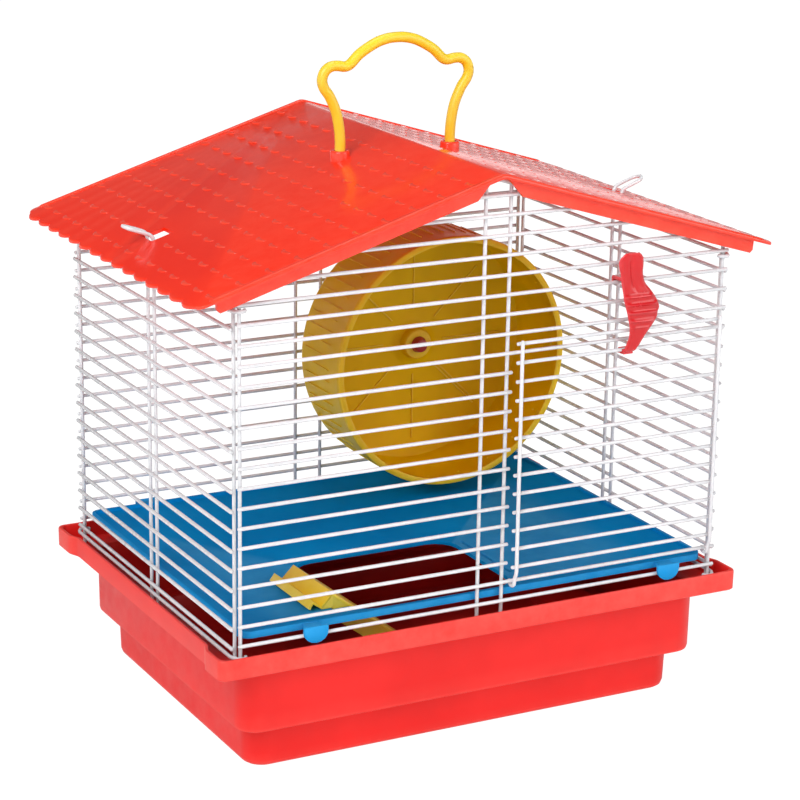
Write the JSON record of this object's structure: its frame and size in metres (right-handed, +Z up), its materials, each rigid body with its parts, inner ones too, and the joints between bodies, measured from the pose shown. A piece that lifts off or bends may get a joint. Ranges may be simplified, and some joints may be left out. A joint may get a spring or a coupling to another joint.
{
  "type": "hamster cage",
  "caption": "Small-pet cage: wire house with drop-down front door, latch, shelf with hatch and ramp, running wheel and gabled lift-off roof with handle, on a stepped tray.",
  "frame": {"origin": "on the floor, under the middle of the tray", "axes": "+Z up, +X to the right of the front, -Y out of the front where the door is"},
  "size_m": [0.326, 0.228, 0.3483],
  "materials": {
    "wire_white": "white plastic-coated steel wire",
    "roof_red": "satin red moulded plastic",
    "tray_red": "satin red moulded plastic",
    "latch_red": "dark red moulded plastic",
    "axle_red": "dark red moulded plastic",
    "handle_yellow": "yellow moulded plastic",
    "wheel_yellow": "deep yellow moulded plastic",
    "shelf_blue": "blue moulded plastic"
  },
  "bodies": {
    "tray": {"base_tray": "tray_red"},
    "cage": {"front_panel": "wire_white", "back_panel": "wire_white", "left_panel": "wire_white", "right_panel": "wire_white", "left_bottom_rail": "wire_white", "left_top_rail": "wire_white", "right_bottom_rail": "wire_white", "right_top_rail": "wire_white", "shelf": "shelf_blue", "ramp": "handle_yellow", "wheel_axle": "axle_red", "wheel_bracket": "axle_red"},
    "door": {"door": "wire_white"},
    "latch": {"door_latch": "latch_red"},
    "wheel": {"wheel": "wheel_yellow"},
    "roof": {"roof": "roof_red", "handle": "handle_yellow", "handle_collar_left": "roof_red", "handle_collar_right": "roof_red"},
    "hook_left": {"roof_hook_left": "wire_white"},
    "hook_right": {"roof_hook_right": "wire_white"}
  },
  "joints": [
    {"name": "cage_lift", "type": "slide", "parent": "tray", "child": "cage", "axis": [0, 0, 1], "range_m": [0, 0.08]},
    {"name": "door_swing", "type": "hinge", "parent": "cage", "child": "door", "pos_m": [0.073, -0.1055, 0.0835], "axis": [1, 0, 0], "range_deg": [0, 110]},
    {"name": "latch_swing", "type": "hinge", "parent": "cage", "child": "latch", "pos_m": [0.0745, -0.1055, 0.2335], "axis": [-1, 0, 0], "range_deg": [0, 16]},
    {"name": "wheel_spin", "type": "hinge", "parent": "cage", "child": "wheel", "pos_m": [0.058, 0.089, 0.157], "axis": [0, 1, 0], "continuous": true},
    {"name": "roof_lift", "type": "slide", "parent": "cage", "child": "roof", "axis": [0, 0, 1], "range_m": [0, 0.009]},
    {"name": "hook_left_flex", "type": "hinge", "parent": "cage", "child": "hook_left", "pos_m": [-0.137, 0, 0.2465], "axis": [0, 1, 0], "range_deg": [0, 45]},
    {"name": "hook_right_flex", "type": "hinge", "parent": "cage", "child": "hook_right", "pos_m": [0.137, 0, 0.2465], "axis": [0, -1, 0], "range_deg": [0, 45]}
  ],
  "couplings": [
    {"joint": "hook_left_flex", "follows": "roof_lift", "rad_per_m": 87.2},
    {"joint": "hook_right_flex", "follows": "roof_lift", "rad_per_m": 87.2}
  ]
}
